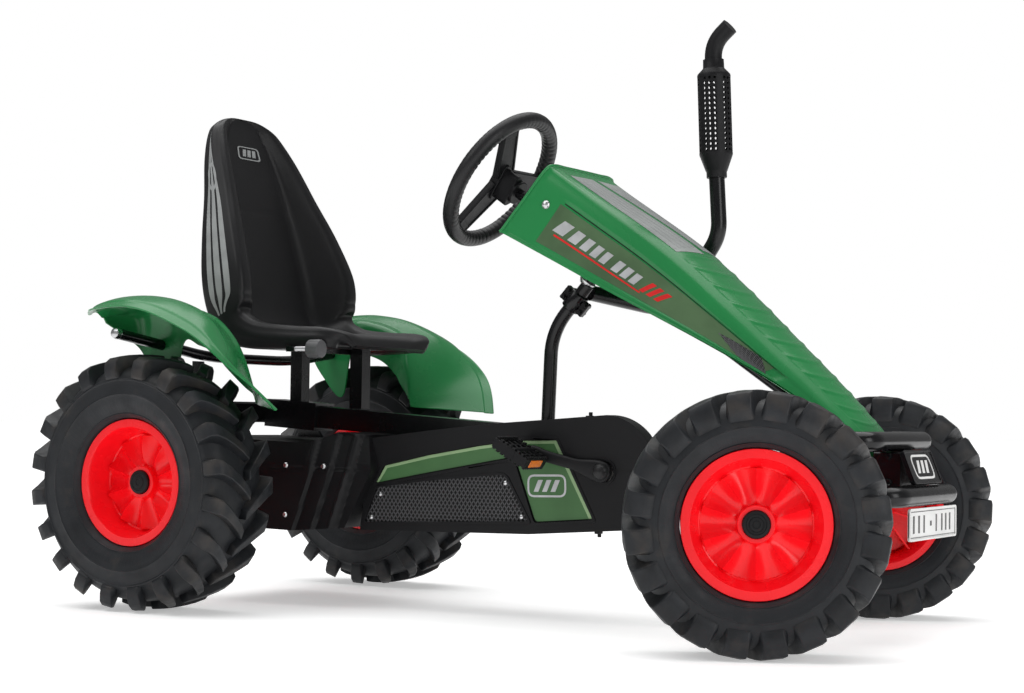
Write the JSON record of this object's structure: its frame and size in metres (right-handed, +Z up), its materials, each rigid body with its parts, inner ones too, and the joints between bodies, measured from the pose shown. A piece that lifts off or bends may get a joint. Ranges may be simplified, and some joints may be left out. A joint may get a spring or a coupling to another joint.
{
  "type": "pedal go kart",
  "caption": "Four-wheeled pedal go kart styled as a tractor: sliding high-back seat, column steering, swinging front axle, chain drive, hood, fenders and upright exhaust.",
  "frame": {"origin": "on the floor, under the middle of the bounding box", "axes": "+X forward, +Y to the driver's left, +Z up"},
  "size_m": [1.6232, 1.0008, 1.086],
  "materials": {
    "green_plastic": "glossy moulded",
    "black_plastic": "fine grained",
    "black_powder_coat": "satin powder coat",
    "tyre_rubber": "matt",
    "red_plastic": "glossy moulded",
    "zinc_steel": "zinc plated",
    "grey_plastic": "satin",
    "white_plate": "smooth"
  },
  "bodies": {
    "chassis": {"main_beam": "black_powder_coat", "front_pivot_bolt": "zinc_steel", "rear_cross_beam": "black_powder_coat", "bottom_bracket_shell": "black_powder_coat", "axle_plate_right": "black_powder_coat", "axle_plate_left": "black_powder_coat", "rear_bearing_right": "zinc_steel", "rear_bearing_left": "zinc_steel", "drive_cover_right": "black_plastic", "drive_cover_left": "black_plastic", "rear_cover": "black_plastic", "drive_chain": "zinc_steel", "hood_support_bar": "black_powder_coat", "column_bearing": "zinc_steel", "hood": "green_plastic", "bumper_tube_upper": "black_powder_coat", "bumper_tube_lower": "black_powder_coat", "bumper_bracket": "black_powder_coat", "bumper_plate": "black_plastic", "number_plate": "white_plate", "exhaust_pipe": "black_powder_coat", "exhaust_muffler": "black_plastic", "exhaust_tip": "black_plastic", "fender_right": "green_plastic", "fender_left": "green_plastic", "fender_bar": "black_powder_coat", "fender_bracket_right": "zinc_steel", "fender_bracket_left": "zinc_steel"},
    "rear_axle": {"rear_axle": "zinc_steel", "rear_sprocket": "zinc_steel", "tyre_rear_left": "tyre_rubber", "rim_rear_left": "red_plastic", "hub_cap_rear_left": "black_plastic"},
    "rear_wheel_right": {"tyre_rear_right": "tyre_rubber", "rim_rear_right": "red_plastic", "hub_cap_rear_right": "black_plastic"},
    "front_axle": {"front_axle_beam": "black_powder_coat"},
    "knuckle_right": {"knuckle_right": "black_powder_coat", "kingpin_right": "zinc_steel"},
    "knuckle_left": {"knuckle_left": "black_powder_coat", "kingpin_left": "zinc_steel"},
    "front_wheel_right": {"tyre_front_right": "tyre_rubber", "rim_front_right": "red_plastic", "hub_cap_front_right": "black_plastic"},
    "front_wheel_left": {"tyre_front_left": "tyre_rubber", "rim_front_left": "red_plastic", "hub_cap_front_left": "black_plastic"},
    "track_rod": {"track_rod": "zinc_steel"},
    "steering": {"steering_wheel_rim": "black_plastic", "steering_wheel_hub": "black_plastic", "steering_column": "zinc_steel"},
    "crank": {"crank_spindle": "zinc_steel", "chainring": "zinc_steel", "crank_arm_right": "black_powder_coat", "crank_arm_left": "black_powder_coat"},
    "pedal_right": {"pedal_right": "black_plastic"},
    "pedal_left": {"pedal_left": "black_plastic"},
    "seat": {"seat_shell": "black_plastic", "seat_frame": "black_powder_coat"},
    "seat_knob": {"seat_clamp_knob": "grey_plastic"}
  },
  "joints": [
    {"name": "rear_axle_spin", "type": "hinge", "parent": "chassis", "child": "rear_axle", "pos_m": [-0.5806, 0, 0.231], "axis": [0, 1, 0], "continuous": true},
    {"name": "rear_wheel_right_spin", "type": "hinge", "parent": "chassis", "child": "rear_wheel_right", "pos_m": [-0.5806, -0.366, 0.231], "axis": [0, 1, 0], "continuous": true},
    {"name": "front_axle_swing", "type": "hinge", "parent": "chassis", "child": "front_axle", "pos_m": [0.5714, 0, 0.203], "axis": [1, 0, 0], "range_deg": [-7, 7]},
    {"name": "knuckle_right_steer", "type": "hinge", "parent": "front_axle", "child": "knuckle_right", "pos_m": [0.5714, -0.286, 0.203], "axis": [0, 0, 1], "range_deg": [-54, 2]},
    {"name": "knuckle_left_steer", "type": "hinge", "parent": "front_axle", "child": "knuckle_left", "pos_m": [0.5714, 0.286, 0.203], "axis": [0, 0, 1], "range_deg": [-54, 2]},
    {"name": "front_wheel_right_spin", "type": "hinge", "parent": "knuckle_right", "child": "front_wheel_right", "pos_m": [0.60647, -0.3579, 0.203], "axis": [-0.4384, 0.8988, 0], "continuous": true},
    {"name": "front_wheel_left_spin", "type": "hinge", "parent": "knuckle_left", "child": "front_wheel_left", "pos_m": [0.53633, 0.3579, 0.203], "axis": [-0.4384, 0.8988, 0], "continuous": true},
    {"name": "track_rod_swing", "type": "hinge", "parent": "knuckle_right", "child": "track_rod", "pos_m": [0.48152, -0.32984, 0.2895], "axis": [0, 0, 1], "range_deg": [-2, 54]},
    {"name": "steering_turn", "type": "hinge", "parent": "chassis", "child": "steering", "pos_m": [-0.0676, 0, 0.796], "axis": [-0.8251, 0, 0.565], "range_deg": [-54, 2]},
    {"name": "crank_turn", "type": "hinge", "parent": "chassis", "child": "crank", "pos_m": [0.2144, 0, 0.266], "axis": [0, 1, 0], "continuous": true},
    {"name": "pedal_right_spin", "type": "hinge", "parent": "crank", "child": "pedal_right", "pos_m": [0.07772, -0.166, 0.2963], "axis": [0, 1, 0], "continuous": true},
    {"name": "pedal_left_spin", "type": "hinge", "parent": "crank", "child": "pedal_left", "pos_m": [0.35108, 0.166, 0.2357], "axis": [0, 1, 0], "continuous": true},
    {"name": "seat_slide", "type": "slide", "parent": "chassis", "child": "seat", "axis": [0.9979, 0, -0.0649], "range_m": [-0.025, 0.08]},
    {"name": "seat_knob_turn", "type": "hinge", "parent": "seat", "child": "seat_knob", "pos_m": [-0.3943, -0.185, 0.478], "axis": [1, 0, 0], "continuous": true}
  ],
  "couplings": [
    {"joint": "knuckle_right_steer", "follows": "steering_turn", "ratio": 1},
    {"joint": "knuckle_left_steer", "follows": "steering_turn", "ratio": 1},
    {"joint": "track_rod_swing", "follows": "steering_turn", "ratio": -1},
    {"joint": "crank_turn", "follows": "rear_axle_spin", "ratio": 0.5}
  ]
}
